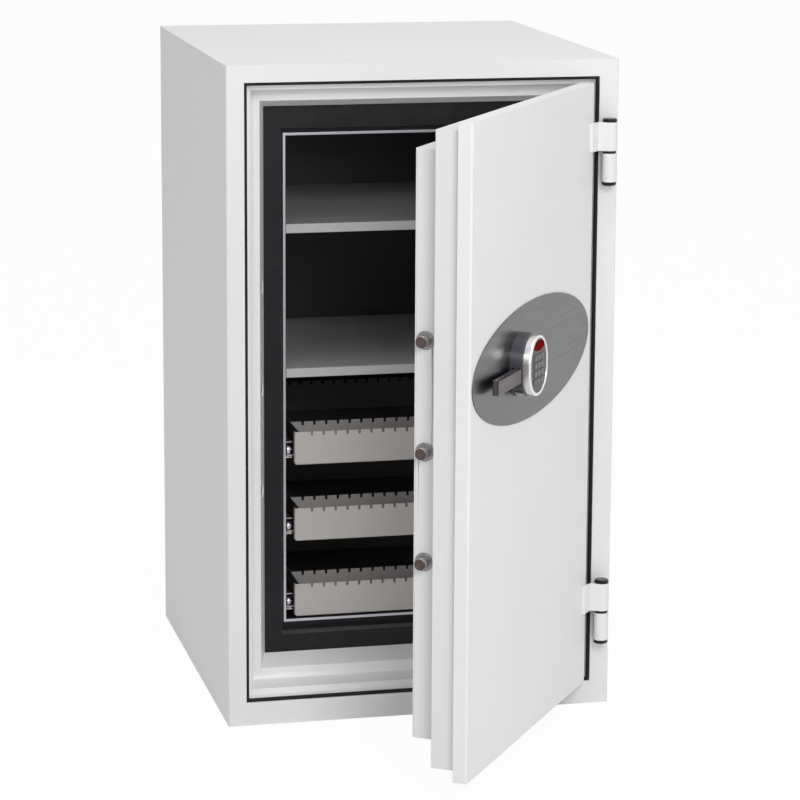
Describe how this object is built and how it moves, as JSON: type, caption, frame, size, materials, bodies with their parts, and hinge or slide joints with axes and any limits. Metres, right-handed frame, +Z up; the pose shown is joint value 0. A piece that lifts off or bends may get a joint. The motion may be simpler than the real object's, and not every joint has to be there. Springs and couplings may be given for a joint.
{
  "type": "data safe",
  "caption": "Upright fire-resistant data safe with a stepped hinged door standing open, round locking bolts, code lock with lever, shelves and media drawers in a dark insulated inner box.",
  "frame": {"origin": "middle of the cabinet's base, on the floor", "axes": "+Z up; -Y out of the cabinet's front; +X to the right seen from the front, where the hinges are"},
  "size_m": [0.7, 1.2629, 1.175],
  "materials": {
    "body_paint": "satin white powder coat with a faint texture",
    "frame_paint": "smooth satin white paint",
    "dark_paint": "dark charcoal satin paint",
    "shelf_paint": "grey satin paint",
    "drawer_paint": "warm grey satin paint",
    "black_plastic": "moulded black plastic, low gloss",
    "black_rubber": "black sealing rubber",
    "filling": "cast fire-resistant filling, hidden",
    "trim_metal": "satin metal edge",
    "bare_steel": "zinc-plated steel",
    "bolt_chrome": "polished chrome",
    "satin_plate": "satin grey metal plate",
    "lock_dark": "dark blue-black satin",
    "bezel_silver": "satin silver",
    "lever_taupe": "warm grey satin metal",
    "keypad_grey": "grey plastic face",
    "button_grey": "grey-green rubber-like buttons",
    "display_red": "dark red glossy window"
  },
  "bodies": {
    "cabinet": {"outer_case": "body_paint", "rear_cover": "body_paint", "case_filling": "filling", "edge_strip": "black_rubber", "stepped_frame": "frame_paint", "black_inner_frame": "black_plastic", "inner_box": "dark_paint", "box_trim": "trim_metal", "shelves": "shelf_paint", "shelf_clips": "bare_steel", "drawer_channels": "bare_steel", "hinge_lower_knuckles": "body_paint", "hinge_pins": "bare_steel", "hinge_washers": "black_plastic", "hinge_bottom_caps": "black_plastic"},
    "door": {"door_leaf": "body_paint", "door_second_step": "frame_paint", "door_bolt_casing": "frame_paint", "door_back_panel": "frame_paint", "door_filling": "filling", "hinge_upper_knuckles": "body_paint", "hinge_top_caps": "black_plastic", "lock_plate": "satin_plate", "lock_housing": "lock_dark", "lock_bezel": "bezel_silver", "keypad_face": "keypad_grey", "keypad_board": "black_plastic", "display_window": "display_red", "lock_body": "bare_steel", "bolt_collars": "black_plastic"},
    "lever": {"lever_arm": "lock_dark", "lever_cap": "lever_taupe", "lever_spindle": "bare_steel"},
    "bolt_work": {"bolts": "bolt_chrome", "bolt_bar": "bare_steel", "bolt_yoke": "bare_steel"},
    "drawer_1": {"drawer_1_tray": "drawer_paint", "drawer_1_front": "drawer_paint", "drawer_1_comb": "drawer_paint", "drawer_1_runners": "bare_steel"},
    "drawer_2": {"drawer_2_tray": "drawer_paint", "drawer_2_front": "drawer_paint", "drawer_2_comb": "drawer_paint", "drawer_2_runners": "bare_steel"},
    "drawer_3": {"drawer_3_tray": "drawer_paint", "drawer_3_front": "drawer_paint", "drawer_3_comb": "drawer_paint", "drawer_3_runners": "bare_steel"},
    "key_1": {"button_1": "button_grey"},
    "key_2": {"button_2": "button_grey"},
    "key_3": {"button_3": "button_grey"},
    "key_4": {"button_4": "button_grey"},
    "key_5": {"button_5": "button_grey"},
    "key_6": {"button_6": "button_grey"},
    "key_7": {"button_7": "button_grey"},
    "key_8": {"button_8": "button_grey"},
    "key_9": {"button_9": "button_grey"},
    "key_10": {"button_10": "button_grey"},
    "key_11": {"button_11": "button_grey"},
    "key_12": {"button_12": "button_grey"}
  },
  "joints": [
    {"name": "door_hinge", "type": "hinge", "parent": "cabinet", "child": "door", "pos_m": [0.328, -0.387, 0], "axis": [0, 0, 1], "range_deg": [-55.5, 64.5]},
    {"name": "lever_turn", "type": "hinge", "parent": "door", "child": "lever", "pos_m": [0.07849, -0.7112, 0.699], "axis": [0.8241, -0.5664, 0], "range_deg": [0, 90]},
    {"name": "bolt_slide", "type": "slide", "parent": "door", "child": "bolt_work", "axis": [-0.5664, -0.8241, 0], "range_m": [-0.018, 0]},
    {"name": "drawer_1_slide", "type": "slide", "parent": "cabinet", "child": "drawer_1", "axis": [0, -1, 0], "range_m": [0, 0.145]},
    {"name": "drawer_2_slide", "type": "slide", "parent": "cabinet", "child": "drawer_2", "axis": [0, -1, 0], "range_m": [0, 0.145]},
    {"name": "drawer_3_slide", "type": "slide", "parent": "cabinet", "child": "drawer_3", "axis": [0, -1, 0], "range_m": [0, 0.145]},
    {"name": "button_1_press", "type": "slide", "parent": "door", "child": "key_1", "axis": [-0.8241, 0.5664, 0], "range_m": [0, 0.001], "stiffness_N_per_m": 400},
    {"name": "button_2_press", "type": "slide", "parent": "door", "child": "key_2", "axis": [-0.8241, 0.5664, 0], "range_m": [0, 0.001], "stiffness_N_per_m": 400},
    {"name": "button_3_press", "type": "slide", "parent": "door", "child": "key_3", "axis": [-0.8241, 0.5664, 0], "range_m": [0, 0.001], "stiffness_N_per_m": 400},
    {"name": "button_4_press", "type": "slide", "parent": "door", "child": "key_4", "axis": [-0.8241, 0.5664, 0], "range_m": [0, 0.001], "stiffness_N_per_m": 400},
    {"name": "button_5_press", "type": "slide", "parent": "door", "child": "key_5", "axis": [-0.8241, 0.5664, 0], "range_m": [0, 0.001], "stiffness_N_per_m": 400},
    {"name": "button_6_press", "type": "slide", "parent": "door", "child": "key_6", "axis": [-0.8241, 0.5664, 0], "range_m": [0, 0.001], "stiffness_N_per_m": 400},
    {"name": "button_7_press", "type": "slide", "parent": "door", "child": "key_7", "axis": [-0.8241, 0.5664, 0], "range_m": [0, 0.001], "stiffness_N_per_m": 400},
    {"name": "button_8_press", "type": "slide", "parent": "door", "child": "key_8", "axis": [-0.8241, 0.5664, 0], "range_m": [0, 0.001], "stiffness_N_per_m": 400},
    {"name": "button_9_press", "type": "slide", "parent": "door", "child": "key_9", "axis": [-0.8241, 0.5664, 0], "range_m": [0, 0.001], "stiffness_N_per_m": 400},
    {"name": "button_10_press", "type": "slide", "parent": "door", "child": "key_10", "axis": [-0.8241, 0.5664, 0], "range_m": [0, 0.001], "stiffness_N_per_m": 400},
    {"name": "button_11_press", "type": "slide", "parent": "door", "child": "key_11", "axis": [-0.8241, 0.5664, 0], "range_m": [0, 0.001], "stiffness_N_per_m": 400},
    {"name": "button_12_press", "type": "slide", "parent": "door", "child": "key_12", "axis": [-0.8241, 0.5664, 0], "range_m": [0, 0.001], "stiffness_N_per_m": 400}
  ],
  "couplings": [
    {"joint": "bolt_slide", "follows": "lever_turn", "m_per_rad": -0.011459}
  ]
}
